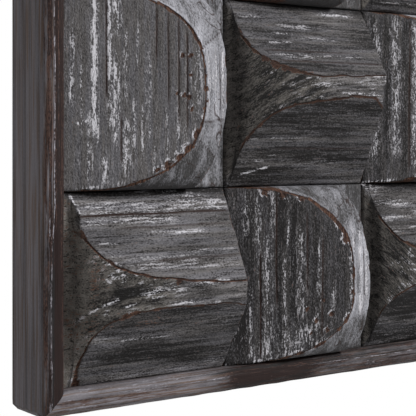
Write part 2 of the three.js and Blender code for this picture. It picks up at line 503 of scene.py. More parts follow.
# Each soft patch: its middle across and up the block, its reach both ways, and how much lighter it is.
ridge_patches = {
    (0, 0): [
        (62, 55, 60, 5, -0.26), (45, 29, 34, 7, -0.36), (104, 24.5, 26, 6, -0.32), (145, 25, 12, 8, -0.22),
        (17, 44.5, 8, 4, 0.42), (33, 40.5, 11, 4, 0.46), (87, 42, 18, 4, 0.36), (10, 24.5, 6, 14, 0.24),
        (75, 11, 90, 4.5, 0.5), (20.5, 99.5, 6, 7, 0.26), (25, 90, 6, 5, 0.26), (25, 61, 8, 4, 0.26),
        (76, 77.5, 14, 5, 0.2), (50.5, 86, 10, 3.5, 0.22), (42.5, 79, 9, 6, -0.34), (32, 74, 8, 7, -0.28),
        (13, 78, 5, 9, -0.14), (60, 137.5, 70, 2.5, 0.26), (57, 128.5, 60, 2.5, 0.24),
        (92, 119, 40, 2.5, 0.24), (63, 145.5, 60, 2.5, -0.2), (38, 115, 20, 4, -0.2),
        (80, 108, 36, 4, -0.22), (53, 98, 26, 4, -0.18),
    ],
    (1, 1): [
        (75, 8, 90, 7, 0.14), (20, 30, 14, 6, 0.1), (100, 29.5, 40, 4, 0.08), (49, 54, 30, 6, -0.1),
        (110, 62, 40, 7, -0.13), (40, 125, 24, 9, -0.1), (110, 138, 40, 7, 0.1), (14, 68, 9, 13, -0.08),
        (24, 89, 6, 6, -0.06), (45.5, 81.5, 12, 3, 0.12), (66, 88, 14, 2.5, 0.14),
        (83, 82.5, 14, 2.5, 0.14), (57.5, 74, 14, 2.5, 0.12), (34, 63.5, 12, 2.5, 0.12),
    ],
    (0, 2): [
        (19, 81, 5, 4, 0.2), (27, 79, 6, 5, 0.24), (36, 75, 7, 6, 0.26), (22, 66, 4, 5, 0.2),
        (32, 60, 7, 5, 0.24), (13, 52, 4, 8, 0.18), (15, 73, 3.5, 4, -0.12), (12, 96, 9, 8, -0.1),
    ],
}

# How much of the dry brush's silver the upper flank, lower flank and crown took.
ridge_silvers = {(0, 0): (0.5, 0.3, 0.9), (1, 1): (0.12, 0.15, 0.6), "others": (0.6, 0.3, 0.6)}

# Thinnest and widest rubbing along the upper and the lower edge of the crown.
ridge_wears = {
    (0, 0): (0.9, 2.8, 0.5, 2.6),
    (1, 1): (0.6, 2.2, 0.7, 3),
    (0, 2): (0.7, 2.6, 0.2, 1.4),
    "others": (0.8, 2.8, 0.6, 2.8),
}

# How dark the bare wood of the edges is: partly its own colour and partly painted shade under the crown's
# edge.
ridge_edge_shades = {(0, 0): 0.1, (1, 1): 0.55, "others": 0.3}

# Each scratch: where it starts and ends, across and up the block.
ridge_scratches = {
    (0, 0): [
        (9.4, 147, 10.8, 141.5), (10.8, 141.5, 13.4, 135), (24, 102.5, 36, 97.5), (9.5, 57, 12.5, 61.5),
        (15.5, 63.8, 20, 67), (23.5, 68.8, 34, 73), (24, 62.5, 26.5, 65.5), (40, 67.5, 48, 70),
    ],
    (1, 1): [(12, 10, 38, 16)],
}

# Where the foot of the nose is cut further in: each place up the block, its reach, and how far.
nose_dents = {(0, 0): [(134, 8, 3.5)]}

# How fast the worn lower left corner climbs along the block, for each millimetre up it.
worn_feet = {(0, 0): 0.042}

# How far the foot of the nose is scuffed to bare wood in spots, and other scuffs: the middle of each across
# and up the block, its reach both ways, and how far.
scuffed_feet = {(0, 0): 0.26, (1, 1): 0.08, "others": 0.1}
ridge_scuffs = {(0, 0): [(58, 55, 28, 6, 0.3), (96, 12, 40, 6, 0.1)]}

# How much painted light lifts the foot of the nose, which faces away from the lamp, beside the frame and
# further in.
framed_foot_painted_light = 0.6
inner_foot_painted_light = 0.26

# How far the crown is worn down at its lower right corner, and the most that chance gives the others.
worn_corners = {(1, 1): 3.5}
most_worn = 1.5

# How far the nose's rings lean up to the right, in degrees, the most that chance gives the others, and how
# far along they lean.
ring_leans = {(0, 0): 12, (1, 1): 36, (0, 2): -48}
most_lean = 40
ring_reach = 60


def ridge_block(node, here):
    """The block's front is the lower of two surfaces: a roof, straight from each thin edge to an apex line
    that leans from one end to the other, and the rounded end carried up the block. Grid lines follow the
    grain and are parted where those two surfaces meet, so the worn edges lie along the grid."""
    left, right, bottom, top, back = limits(node, here)
    seed = first_seed(here)
    draw = np.random.default_rng(seed)
    turn = np.linspace(0, math.pi / 2, nose_lines)
    foot = nose_start + wandered(nose_wander, here)
    nose_run = foot + (right - foot) * (1 - np.cos(turn) + 0.25 * turn) / (1 + 0.125 * math.pi)
    run = np.concatenate([np.linspace(left, foot, foot_lines)[:-1], nose_run])
    right_apex = pitch / 2 + wandered(ridge_wander, here)
    apex_line = pitch / 2 + ridge_lift + (right_apex - pitch / 2 - ridge_lift) * run / pitch
    part_up = nose_profile(run, foot) / apex_height
    lower_edge = np.maximum(part_way(bottom, apex_line, part_up), bottom + least_strip)[:, None]
    upper_edge = np.minimum(part_way(top, apex_line, part_up), top - least_strip)[:, None]
    flank_part = np.linspace(0, 1, flank_steps)
    crown_part = np.linspace(0, 1, crown_steps)
    below = part_way(bottom, lower_edge, flank_part)[:, :-1]
    crown = part_way(lower_edge, upper_edge, crown_part)[:, :-1]
    above = part_way(upper_edge, top, flank_part)
    z = np.concatenate([below, crown, above], axis=1)
    x = np.repeat(run[:, None], z.shape[1], axis=1)
    uneven = unevenness(x, z, seed)

    # Heights of the roof and of the rounded end, and how far a point lies past the crease between them.
    apex = np.repeat(apex_line[:, None], z.shape[1], axis=1)
    flank = apex_height * np.where(z < apex, (z - bottom) / (apex - bottom), (top - z) / (top - apex))
    foot = np.full_like(x, foot)
    for place, reach, depth in own(nose_dents, here):
        foot = foot + depth * bell(z - place, reach)
    gouge_foot = foot_fillet * np.exp(np.minimum(x - foot, 0) / foot_reach)
    rounded = np.maximum(nose_profile(x, foot), gouge_foot)
    if here in worn_feet:
        corner = worn_feet[here] * (x - left) * np.maximum(z - bottom, 0.5)
        rounded = lower_of(rounded, corner, crease_round)
    flank = flank + 0.7 * uneven(45, 14, 1)
    rounded = rounded + 0.6 * uneven(16, 22, 2) + 0.35 * uneven(4.5, 4.5, 12)
    upper = rise(z, apex - 2, apex + 2)
    worn = worn_corners.get(here, draw.uniform(0, most_worn))
    rounded = rounded - worn * rise(x, right - corner_reach, right) * (1 - upper)
    climb = nose_profile(x + 0.5, foot) - nose_profile(x - 0.5, foot)
    slope = np.hypot(climb, apex_height / (pitch / 2))
    from_crease = (flank - rounded) / slope
    beyond_crease = rise(from_crease, *crease_fade)
    on_ridge = rise(x, *ridge_begins)
    on_nose = beyond_crease * (1 - on_ridge)

    # Splits, streaks, spatter and flakes of paint, and edges, feet and ends rubbed or chipped to bare wood.
    streaks = ridge_streaks.get(here) or chance_streaks(here, ridge_streak_count)
    groove = split(x, z, own(ridge_splits, here), seed + 3) * (1 - beyond_crease)
    upper_silver, lower_silver, crown_silver = own(ridge_silvers, here)
    flank_silver = part_way(lower_silver, upper_silver, upper)
    silvering = part_way(flank_silver, crown_silver * rise(x, *silver_begins), beyond_crease)
    streaked = dragged(x, z, streaks, seed + 4)
    paint = np.maximum(0.85 * streaked, silvering * brushed(x, z, seed + 13))
    spatter = rise(uneven(3.4, 2.6, 21), 0, 0.7) * rise(uneven(15, 15, 20), -0.1, 0.7)
    spatter = spatter * 0.45 * crown_silver * rise(x, *spatter_begins)
    lightened = patched(x, z, own(ridge_patches, here))
    flakes = 1.5 * np.clip(lightened, 0, 0.4) * rise(uneven(2.6, 2, 22), -0.1, 0.6)
    paint = np.maximum(paint, np.maximum(spatter, flakes) * beyond_crease)
    paint = np.maximum(paint, 0.6 * scratched(x, z, own(ridge_scratches, here)))
    upper_thinnest, upper_widest, lower_thinnest, lower_widest = own(ridge_wears, here)
    thinnest = part_way(lower_thinnest, upper_thinnest, upper)
    widest = part_way(lower_widest, upper_widest, upper) * (1 - 0.5 * rise(x, *rubbing_narrows))
    bare = rubbed(from_crease - 0.6, x + edge_apart * upper, thinnest, widest, seed + 5)
    broken = chipped(x, z, own(ridge_chips, here), seed + 11) * rise(from_crease, -1.5, -0.5)
    bare = np.maximum(bare, broken) * rise(x, foot + 0.5, foot + 4)
    # Chips and rubbed edges are darkened, partly as bare wood and partly as painted shade under the crown's
    # edge.
    dark_wood_and_shade = np.maximum(0.7 * broken, own(ridge_edge_shades, here) * bare)
    scuff = own(scuffed_feet, here) * beyond_crease * (1 - rise(x, foot + 6, foot + 34))
    scuff = scuff + patched(x, z, own(ridge_scuffs, here)) * (1 - beyond_crease)
    bare = np.maximum(bare, scuff * (0.7 + 0.5 * uneven(6, 12, 25)))
    end_face = rise(x, right - 2.5, right - 0.5)
    bare = np.maximum(bare, 0.7 * end_face * rise(waver(z / 5, x / 9, seed + 6), -0.2, 0.5))

    # How light the stain is: lines along the flanks, leaning rings on the crown, saw marks at the foot.
    lean = math.radians(ring_leans.get(here, draw.uniform(-most_lean, most_lean)))
    ring_climb = math.tan(lean) * ring_reach * np.tanh(x / ring_reach)
    grain_across = np.where(beyond_crease > 0.5, z - ring_climb + edge_apart, z)
    chance_tones = draw.uniform(darkest_ridge, lightest_ridge)
    upper_tone, lower_tone, nose_tone, ridge_tone = ridge_tones.get(here, chance_tones)
    # The lower flank, facing down, is darker: partly its stain, partly painted shade.
    flank_tone = part_way(lower_tone, upper_tone, upper)
    flank_tone = flank_tone + 0.36 * lined(x, z, seed + 15) + 0.16 * uneven(36, 10, 17)
    flank_tone = flank_tone + 0.4 * streaked
    rings = 0.36 * waver(x / 26, grain_across / 3.4, seed + 18)
    rings = rings + 0.2 * waver(x / 9, grain_across / 2, seed + 19)
    crown_tone = part_way(nose_tone, ridge_tone, on_ridge) + rings * rise(x, *rings_begin)
    sawn = 0.2 * uneven(1.3, 32, 23) + 0.1 * uneven(0.8, 12, 24)
    crown_tone = crown_tone + sawn * (1 - rise(x, foot, foot + 9))
    tone = part_way(flank_tone, crown_tone, beyond_crease) + lightened
    # Painted light: the foot of the nose, turned from the lamp and low beside its neighbour, is made lighter.
    foot_painted_light = framed_foot_painted_light if here[1] == 0 else inner_foot_painted_light
    tone = tone + foot_painted_light * (1 - rise(x, left + 2, left + 20)) * beyond_crease
    # Painted shadow: darker along the top edge, widening to the right, as cast by the block above.
    tone = tone - 0.4 * (1 - rise(top - z, 0, 3 + 6 * x / pitch))

    # Raised fibres on the flanks and gouge marks on the nose, less splits and rubbed edges.
    fibre = 0.3 * uneven(60, 3.2, 7) + 0.16 * uneven(30, 1.7, 8)
    gouged = 0.3 * waver(x / 9, grain_across / 5, seed + 9) + 0.12 * uneven(2.4, 2.8, 10)
    height = low_edge + lower_of(flank, rounded, crease_round)
    height = height + fibre * (1 - on_nose) + gouged * on_nose - groove - rub_depth * bare
    height = height - eased(x, z, left, right, bottom, top, here)

    marks = {
        "grain": np.stack([x + grain_apart * (seed + 1), grain_across, height], axis=-1),
        "tone": tone,
        "paint": paint,
        "bare": bare,
        "dark": np.clip(np.maximum(groove / ridge_dark_depth, dark_wood_and_shade), 0, 1),
        "rounded": on_nose,
    }
    return carved_block(node, here, x, z, height, back, marks)


def carved_finish(name, fleck_length, line_swing, rounded_dark, rounded_light, spots, spot_swing, cracked):
    """Stained and silvered carved wood. The stain is as light as the tone, moved up and down by threads along
    the grain, with small black pits. Silver lies where the brushed paint and a pattern of flecks are high
    together. Rounded faces have two tones of their own in spots, and thin cracks where a slow unevenness
    passes its middle. Bare wood shows where edges are rubbed, splits are nearly black, and chips are
    darkened, on the ridge blocks partly as painted shade."""
    stain_dark = (0.010, 0.009, 0.009, 1)
    stain_cool = (0.186, 0.18, 0.194, 1)
    stain_warm = (0.172, 0.161, 0.16, 1)
    silver_dull = (0.22, 0.214, 0.226, 1)
    silver_bright = (0.56, 0.55, 0.585, 1)
    brown = (0.105, 0.053, 0.034, 1)
    red_brown = (0.026, 0.0125, 0.0095, 1)
    split_and_shade_brown = (0.024, 0.0115, 0.0085, 1)
    soot = (0.008, 0.006, 0.006, 1)
    wood = Finish(name)
    grain = wood.mark("grain", "Vector")
    tone = wood.mark("tone")
    rounded = wood.mark("rounded")
    threads = wood.noise(grain, (55, 0.9, 6), 3, 0.5)
    flecks = wood.noise(grain, (fleck_length, 1.5, 5), 3, 0.55)
    specks = wood.noise(grain, (1.8, 1, 1.4), 3)
    hue = wood.noise(grain, (60, 5, 20), 2)

    light = wood.blend(wood.between(hue, 0.4, 0.6), stain_warm, stain_cool)
    depth = wood.swing(tone, (threads, line_swing), (flecks, 0.3), (specks, 1))
    colour = wood.blend(depth, stain_dark, light)
    clouds = wood.noise(grain, spots, 5, 0.62, 0.3)
    mottle = wood.swing(tone, (clouds, spot_swing), (specks, 1))
    colour = wood.blend(rounded, colour, wood.blend(mottle, rounded_dark, rounded_light))
    veins = wood.noise(grain, (60, 20, 20), 2, 0.4, 0.6)
    off_vein = wood.worked("ABSOLUTE", wood.worked("SUBTRACT", veins, 0.5), 0)
    crack = wood.worked("MULTIPLY", wood.between(off_vein, 0, 0.01, cracked, 0), rounded)
    colour = wood.blend(crack, colour, red_brown)
    dryness = wood.between(wood.swing(flecks, (specks, 0.9)), 0.34, 0.66)
    colour = wood.blend(wood.between(dryness, 0.06, 0, 0, line_swing), colour, soot)
    laid = wood.worked("ADD", dryness, wood.worked("MULTIPLY", wood.mark("paint"), 1.7))
    silvered = wood.between(laid, 0.9, 1.3)
    silver = wood.blend(wood.between(laid, 1, 1.8), silver_dull, silver_bright)
    colour = wood.blend(silvered, colour, silver)
    rub = wood.between(wood.swing(wood.mark("bare"), (specks, 1.4), (flecks, 1.4)), 0.3, 0.6)
    rust = wood.blend(wood.between(wood.swing(flecks, (specks, 1)), 0.4, 0.62), red_brown, brown)
    colour = wood.blend(rub, colour, rust)
    colour = wood.blend(wood.mark("dark"), colour, split_and_shade_brown)
    relief = wood.swing(specks, (threads, 0.3), (flecks, 0.4))
    roughness = wood.between(silvered, 0, 1, 0.75, 0.5)
    return wood.finish(colour, roughness, relief, 0.001)


ridge_finish = carved_finish(
    "carved wood with lying grain",
    fleck_length=16,
    line_swing=0.8,
    rounded_dark=(0.006, 0.0055, 0.005, 1),
    rounded_light=(0.18, 0.165, 0.15, 1),
    spots=(14, 5, 7),
    spot_swing=1.6,
    cracked=0,
)
for row in range(rows):
    for column in range(row % 2, columns, 2):
        node = f"ridge_block_row{row + 1}_column{column + 1}"
        dress(ridge_block(node, (row, column)), node, ridge_finish)

# Barrel blocks
# Eight solid softwood blocks with the grain upright, sawn to a ramp that climbs to the right and rounded
# over its top and bottom like a barrel, with a curved end wall that drops to a low foot. Stained, silvered
# and rubbed as the ridge blocks are, and glued on the back board between them.
crest_height = 31
barrel_power = 2.6
barrel_wander = (6, 1.19, -1.37, -0.2)
ramp_run = 111
crest_end = 130
end_radius = 200
end_lean = 1.2
steepest = 6
barrel_dark_depth = 0.7
barrel_streak_count = 24

# Where up the block the edge's silvered lip gives way to a pale brim, and the pattern of its rubbing changes.
brim_begins = (20, 60)
rubbing_changes = (60, 90)

# How fine the grid is up the block, and across its ramp, band, end wall and foot.
upright_lines = 112
ramp_steps = 150
band_steps = 48
wall_steps = 8
foot_steps = 24

# Each streak: its place across the block, half width, start and end up the grain, and strength.
barrel_streaks = {
    (1, 0): [
        (10, 1.6, 62, 125, 0.62), (17, 0.8, 40, 100, 0.4), (26, 2.2, 38, 145, 0.78), (24, 0.9, 8, 60, 0.4),
        (37, 2, 42, 145, 0.66), (41, 1.4, 30, 102, 0.6), (33.5, 2.6, 4, 30, 0.62),
        (43, 3.4, 114, 145, 0.52), (48.5, 1.8, 66, 122, 0.38), (50, 3.2, 10, 54, 0.52),
        (55, 1.4, 18, 70, 0.48), (21.5, 1, 6, 60, 0.5), (28.5, 1, 30, 70, 0.5), (44.5, 0.9, 40, 100, 0.48),
        (58, 0.8, 90, 126, 0.4), (67, 1.2, 36, 106, 0.34), (61.5, 1, 22, 66, 0.46), (80, 0.9, 20, 64, 0.5),
        (88, 1, 28, 72, 0.42), (70, 1, 14, 40, 0.42), (93, 1.6, 32, 50, 0.36), (104, 4, 45, 110, 0.24),
        (113, 1.2, 54, 108, 0.5), (116.5, 1, 56, 102, 0.45), (120, 1.2, 58, 104, 0.6),
        (126, 1.4, 50, 112, 0.6),
    ],
    (0, 1): [
        (28, 2.6, 90, 148, 0.3), (36.5, 4.4, 10, 112, 0.28), (40.8, 1.8, 104, 148, 0.34),
        (54.1, 0.9, 96, 146, 0.4), (51, 1.4, 32, 98, 0.38), (65, 3.4, 40, 118, 0.28),
        (80.5, 2.4, 56, 108, 0.26), (78, 4, 26, 52, 0.28), (93, 2, 28, 72, 0.26),
        (109.5, 1.8, 38, 116, 0.34), (52, 3, 10, 38, 0.45), (66, 9, 12, 40, 0.34), (35, 5, 8, 32, 0.42),
        (23, 4, 8, 24, 0.4), (18, 2.4, 110, 145, 0.3), (22.5, 1.2, 12, 72, 0.36), (120, 2.6, 40, 118, 0.66),
        (126, 2.4, 50, 106, 0.72), (112, 2, 96, 122, 0.66),
    ],
    (1, 2): [
        (32, 4.6, 20, 148, 0.33), (50, 3, 12, 144, 0.4), (12, 5, 18, 62, 0.28), (14, 4, 92, 142, 0.28),
        (63, 3, 40, 120, 0.4), (84, 2, 30, 110, 0.4),
    ],
}

# Each dark stripe: its place across the block, half width, start and end up the grain, and strength.
barrel_shades = {
    (0, 1): [
        (49.2, 3, 98, 148, 0.2), (46.7, 2, 24, 98, 0.16), (58.3, 2.8, 40, 146, 0.18),
        (76.5, 3, 40, 130, 0.08), (17, 5, 20, 140, 0.14),
    ],
    (1, 2): [(40.5, 3.2, 6, 150, 0.22), (23.5, 3, 15, 145, 0.2), (8, 12, 0, 150, 0.16)],
}

# Each split: its place across the block, start and end up the grain, and depth. Every band has one more.
barrel_splits = {
    (1, 0): [
        (34.5, 64, 148, 1), (46.5, 16, 60, 0.9), (72.5, 92, 142, 0.8), (81, 60, 140, 0.7),
        (89, 46, 134, 0.8), (95.5, 42, 124, 0.9),
    ],
    (0, 1): [(30.3, 6, 100, 1.1), (44, 50, 150, 0.9), (70, 60, 132, 0.7), (83.7, 20, 112, 0.7)],
    (1, 2): [(45.5, 8, 148, 1), (72, 40, 130, 0.8)],
}
band_splits = [(123, 52, 104, 0.5)]

# Each chip: its middle across and up the block, and its reach.
barrel_chips = {
    (1, 0): [
        (98, 127, 4.5), (106.5, 117, 4), (110, 53, 3.5), (104, 42, 4.5), (96, 31, 4), (89.5, 25, 3.6),
        (81, 19, 3.4), (73, 15.5, 2.4), (98, 101, 2.2), (98.5, 86, 1.8), (97, 70, 2.2), (92, 101, 2),
        (93, 71, 2.4), (88, 73, 1.6), (99, 61, 1.8),
    ],
    (0, 1): [
        (113.5, 62, 3.6), (113.5, 75, 3.4), (113, 90, 3.4), (106, 106, 4.5), (98.5, 120, 4), (86, 134, 4),
        (66, 141, 4), (50, 144, 4), (34, 146, 4), (80, 17, 4), (92, 21, 4), (108, 40, 4), (70, 50, 1.8),
        (78, 40, 2), (85, 56, 1.6), (92, 45, 2.2), (88, 32, 1.8), (74, 30, 1.5),
    ],
}

# Each scratch: where it starts and ends, across and up the block.
barrel_scratches = {(1, 0): [(13, 49.5, 27, 53)]}

# Facets on the band: its upper part, its right end, and a middle and a lowest part, parted by three lines
# from one point to another, as they lie on a block whose crest wandered by the facet shift. Each line wanders
# a little by chance.
facet_shift = 5
facet_wander = 1.5
facet_borders = ((111, 109, 124, 118), (110, 51, 125, 53), (104, 39, 119, 28))

# How far the facets' tones run into each other, and how deep the lines between them are.
facet_parting = {(1, 0): (0.8, 0.6), (0, 1): (7, 0.1), "others": (3, 0.3)}

# Each soft patch: its middle across and up the block, its reach both ways, and how much lighter it is.
barrel_patches = {
    (0, 1): [
        (112, 113, 4, 7, 0.4), (121, 92, 5, 14, 0.42), (124, 72, 4, 12, 0.16), (117, 70, 4, 8, -0.15),
        (122, 50, 4, 9, 0.15), (96, 126, 10, 5, 0.12), (11, 44, 8, 26, -0.2),
    # The darker patch at 11 across and 44 up is painted shadow cast by the ridge block's end wall to its
    # left.
    ],
    (1, 0): [(50, 30, 14, 22, 0.07), (35, 20, 8, 20, 0.05)],
}

# How light the stain is on the ramp, the four facets of the band from the top, and the foot, and what chance
# gives the others.
barrel_tones = {
    (1, 0): (0.5, 0.38, 0.48, 0.3, 0.07, 0.2),
    (0, 1): (0.145, 0.12, 0.52, 0.14, 0.17, 0.06),
    (1, 2): (0.24, 0.3, 0.5, 0.3, 0.1, 0.2),
    (2, 1): (0.3, 0.25, 0.4, 0.1, -0.05, -0.1),
}
darkest_barrel = (0.26, 0.18, 0.45, 0.2, 0.08, 0.1)
lightest_barrel = (0.43, 0.32, 0.55, 0.3, 0.12, 0.25)

# Thinnest and widest rubbing along the edge between ramp and band.
barrel_wears = {(1, 0): (0.7, 3.2), (0, 1): (0.6, 2.6), "others": (0.7, 3.6)}

# How strong the stain's lines are on the ramp, how much of the dry brush's silver it took, and how much
# lighter the stain is under the streaks.
barrel_brushing = {
    (1, 0): (0.05, 0.3, 0),
    (0, 1): (0.07, 0.45, 0.5),
    (1, 2): (0.12, 0.5, 0.3),
    "others": (0.16, 0.7, 0.2),
}


def barrel_block(node, here):
    """The block's front is the lower of two surfaces: a straight ramp up to a flat crest, carried up the
    block, and a barrel carried across it, which is a quarter round each way from a crest line that wandered
    from the middle. Past the end wall, an arc seen from the front, it drops to the foot. Grid lines are
    parted where the surfaces meet."""
    left, right, bottom, top, back = limits(node, here)
    seed = first_seed(here)
    draw = np.random.default_rng(seed)
    middle = pitch / 2 + wandered(barrel_wander, here)
    turn = np.linspace(-1, 1, upright_lines)
    spread = 0.45 * turn + 0.55 * np.sin(turn * math.pi / 2)
    up = bottom + (top - bottom) * 0.5 * (1 + spread)
    part_up = np.where(up < middle, (up - bottom) / (middle - bottom), (top - up) / (top - middle))
    part_up = np.clip(part_up, 0.001, 1)
    barrel_line = crest_height * quarter_round(part_up, barrel_power)
    meeting = np.maximum(ramp_run * barrel_line / crest_height, left + least_strip)
    end_line = crest_end - end_radius + np.sqrt(end_radius**2 - (up - middle) ** 2)
    wall_line = end_line + end_lean

    def stretch(start, end, count):
        """Evenly spaced places from one line to another, for each height up the block."""
        return part_way(start, end, np.linspace(0, 1, count)[:, None])

    ramp_part = stretch(left, meeting, ramp_steps)[:-1]
    band_part = stretch(meeting, end_line, band_steps)[:-1]
    wall_part = stretch(end_line, wall_line, wall_steps)[:-1]
    foot_part = stretch(wall_line, right, foot_steps)
    x = np.concatenate([ramp_part, band_part, wall_part, foot_part])
    z = np.repeat(up[None, :], x.shape[0], axis=0)
    uneven = unevenness(z, x, seed)

    # Heights of the ramp and of the barrel, and how far a point lies past their crease and the end wall.
    ramp = crest_height * np.minimum(x / ramp_run, 1) + 0.5 * uneven(50, 12, 1)
    barrel = barrel_line + 0.6 * uneven(22, 18, 2) + 0.3 * uneven(4.5, 4.5, 13)
    steepness = 2 * crest_height / pitch * (1 - part_up) ** (barrel_power - 1)
    steepness = steepness * quarter_round(part_up, barrel_power) ** (1 - barrel_power)
    slope = np.hypot(crest_height / ramp_run, np.minimum(steepness, steepest))
    level = crest_height * x / ramp_run - barrel_line + ramp - crest_height * np.minimum(x / ramp_run, 1)
    from_crease = level / slope
    on_band = rise(from_crease, *crease_fade)
    past_end = np.clip((x - end_line) / end_lean, 0, 1)
    on_foot = rise(past_end, 0.6, 1)

    # Borders of the facets, splits, streaks of paint, and edges rubbed or chipped to bare wood.
    streaks = barrel_streaks.get(here) or chance_streaks(here, barrel_streak_count)
    chips = own(barrel_chips, here)
    borders = []
    for start_x, start_z, end_x, end_z in facet_borders:
        shift = middle - pitch / 2 - facet_shift + draw.uniform(-facet_wander, facet_wander)
        border = z - start_z - shift - (x - start_x) * (end_z - start_z) / (end_x - start_x)
        borders.append(border + 0.5 * waver(x / 4, z / 4, seed + 16))
    seam = bell(np.min(np.abs(borders), axis=0), split_reach) * on_band * (1 - on_foot)
    end_split = split(z, x, band_splits, seed + 18) * on_band
    softness, parting = own(facet_parting, here)
    groove = split(z, x, own(barrel_splits, here), seed + 3) * (1 - on_band)
    groove = np.maximum(groove, np.maximum(parting * seam, end_split))
    line_contrast, silvering, soaking = own(barrel_brushing, here)
    on_ramp_or_end = np.maximum(1 - on_band, rise(x, ramp_run - 3, ramp_run + 2))
    streaked = dragged(z, x, streaks, seed + 4)
    paint = np.maximum(streaked * on_ramp_or_end, silvering * brushed(z, x, seed + 14) * (1 - on_band))
    paint = np.maximum(paint, 0.6 * scratched(x, z, own(barrel_scratches, here)))
    lip = bell(from_crease + 3, 2.4) * rise(waver(x / 9, z / 9, seed + 11), -0.3, 0.5)
    paint = np.maximum(paint, 0.42 * lip * (1 - rise(z, *brim_begins)))
    brim = bell(from_crease - 2.2, 0.9) * rise(z, *brim_begins)
    thinnest, widest = own(barrel_wears, here)
    along_edge = x + z + edge_apart * rise(z, *rubbing_changes)
    bare = rubbed(from_crease - 0.4, along_edge, thinnest, widest, seed + 5)
    broken = chipped(x, z, chips, seed + 12) * (1 - rise(from_crease, 0.5, 1.5))
    rims = [(middle_x - 0.8, middle_z + 0.8, 1.3 * reach) for middle_x, middle_z, reach in chips]
    paint = np.maximum(paint, 0.5 * chipped(x, z, rims, seed + 19) * (1 - on_band))
    bare = np.maximum(bare, broken) * (1 - rise(x, end_line - 4, end_line - 2))
    end_rub = bell(x - end_line, 0.8) * rise(waver(z / 9, 0.5, seed + 6), 0, 0.6)
    bare = np.maximum(bare, 0.8 * end_rub * (1 - rise(past_end, 0.05, 0.25)))

    # How light the stain is on the ramp, the facets of the band and the foot.
    chance_tones = draw.uniform(darkest_barrel, lightest_barrel)
    ramp_tone, band_tone, *lower_tones, foot_tone = barrel_tones.get(here, chance_tones)
    for border, lower_tone in zip(borders, lower_tones):
        band_tone = part_way(lower_tone, band_tone, rise(border, -softness, softness))
    # Painted shade: the band is darker within 8 mm of the block's bottom, where the row below meets it.
    band_tone = band_tone + 0.3 * brim - 0.2 * (1 - rise(z - bottom, 0, 8))
    band_tone = part_way(band_tone, foot_tone, on_foot)
    ramp_tone = ramp_tone + line_contrast * lined(z, x, seed + 15) + soaking * streaked
    ramp_tone = ramp_tone - dragged(z, x, own(barrel_shades, here), seed + 17)
    tone = part_way(ramp_tone, band_tone, on_band) + patched(x, z, own(barrel_patches, here))
    # Painted shade: darker within 4 mm of the block's left and bottom edges, where it meets its neighbours.
    tone = tone - 0.2 * (1 - rise(x, left, left + 4)) - 0.2 * (1 - rise(z - bottom, 0, 4))

    # Raised fibres on the ramp and gouge marks on the band, less splits and rubbed edges.
    fibre = (uneven(60, 3.2, 7) + 0.5 * uneven(30, 1.7, 8)) * (0.02 + 0.8 * line_contrast)
    gouged = 0.3 * waver(x / 11, z / 13, seed + 9) + 0.08 * waver(x / 3, z / 3, seed + 10)
    height = lower_of(ramp, barrel, crease_round) * (1 - past_end)
    height = low_edge + height + fibre * (1 - on_band) + gouged * on_band - groove - rub_depth * bare
    height = height - eased(x, z, left, right, bottom, top, here)

    marks = {
        "grain": np.stack([z + grain_apart * (seed + 1), x, height], axis=-1),
        "tone": tone,
        "paint": paint,
        "bare": bare,
        "dark": np.clip(np.maximum(groove / barrel_dark_depth, 0.4 * broken), 0, 1),
        "rounded": on_band,
    }
    return carved_block(node, here, x, z, height, back, marks)


barrel_finish = carved_finish(
    "carved wood with upright grain",
    fleck_length=8,
    line_swing=0.35,
    rounded_dark=(0.055, 0.053, 0.054, 1),
    rounded_light=(0.525, 0.525, 0.575, 1),
    spots=(30, 8, 12),
    spot_swing=1.5,
    cracked=0.9,
)
for row in range(rows):
    for column in range((row + 1) % 2, columns, 2):
        node = f"barrel_block_row{row + 1}_column{column + 1}"
        dress(barrel_block(node, (row, column)), node, barrel_finish)

# Frame
# Four softwood bars, 19 mm wide and 47 mm deep, mitred at the corners and glued round the board and the
# blocks. The front edges are planed round, the sides stained grey, and the front rubbed to red brown with
# pale lines left along the edges.
bar_width = 19
bar_depth = 47
outer_round = 9
inner_round = 6
corner_round = 6
mitre_gap = 0.25
bar_grain_apart = 700

# How fine the grid is along a bar and round its section, and how often the mitre's line is improved.
bar_lines = 201
round_steps = 18
outer_steps = 18
inner_steps = 8
front_steps = 7
rear_steps = 5
mitre_rounds = 6

# How much further up its rounded edge a stile's rubbed front starts, and over what height it sets in.
stile_front_in = 4.4
front_fade = 2.6

# How far apart along the rails' front the pale stretches lie, where one dark stretch starts and ends, and
# where the stiles' front turns darker, each from its first sign to its full strength.
pale_spacing = 600
dark_start = (-158, -136)
dark_end = (-78, -52)
shade_start = (150, 210)


def bar_section():
    """Points round a bar's section, as distance in from the outer face and height out from the wall: up the
    outer face, round the outer edge, across the front, round the inner edge, down the inner face, back."""
    quarter = np.linspace(0, math.pi / 2, round_steps)[1:]
    outer = np.linspace(0, bar_depth - outer_round, outer_steps)
    inner = np.linspace(bar_depth - inner_round, 0, inner_steps)[1:]
    flat = np.linspace(outer_round, bar_width - inner_round, front_steps)[1:]
    behind = np.linspace(bar_width, 0, rear_steps)[1:-1]
    inner_turn = bar_width - inner_round + inner_round * np.sin(quarter)
    stretches = (
        (np.zeros_like(outer), outer),
        (outer_round * (1 - np.cos(quarter)), bar_depth - outer_round + outer_round * np.sin(quarter)),
        (flat, np.full_like(flat, bar_depth)),
        (inner_turn, bar_depth - inner_round + inner_round * np.cos(quarter)),
        (np.full_like(inner, bar_width), inner),
        (behind, np.zeros_like(behind)),
    )
    return np.concatenate(stretches, axis=1)


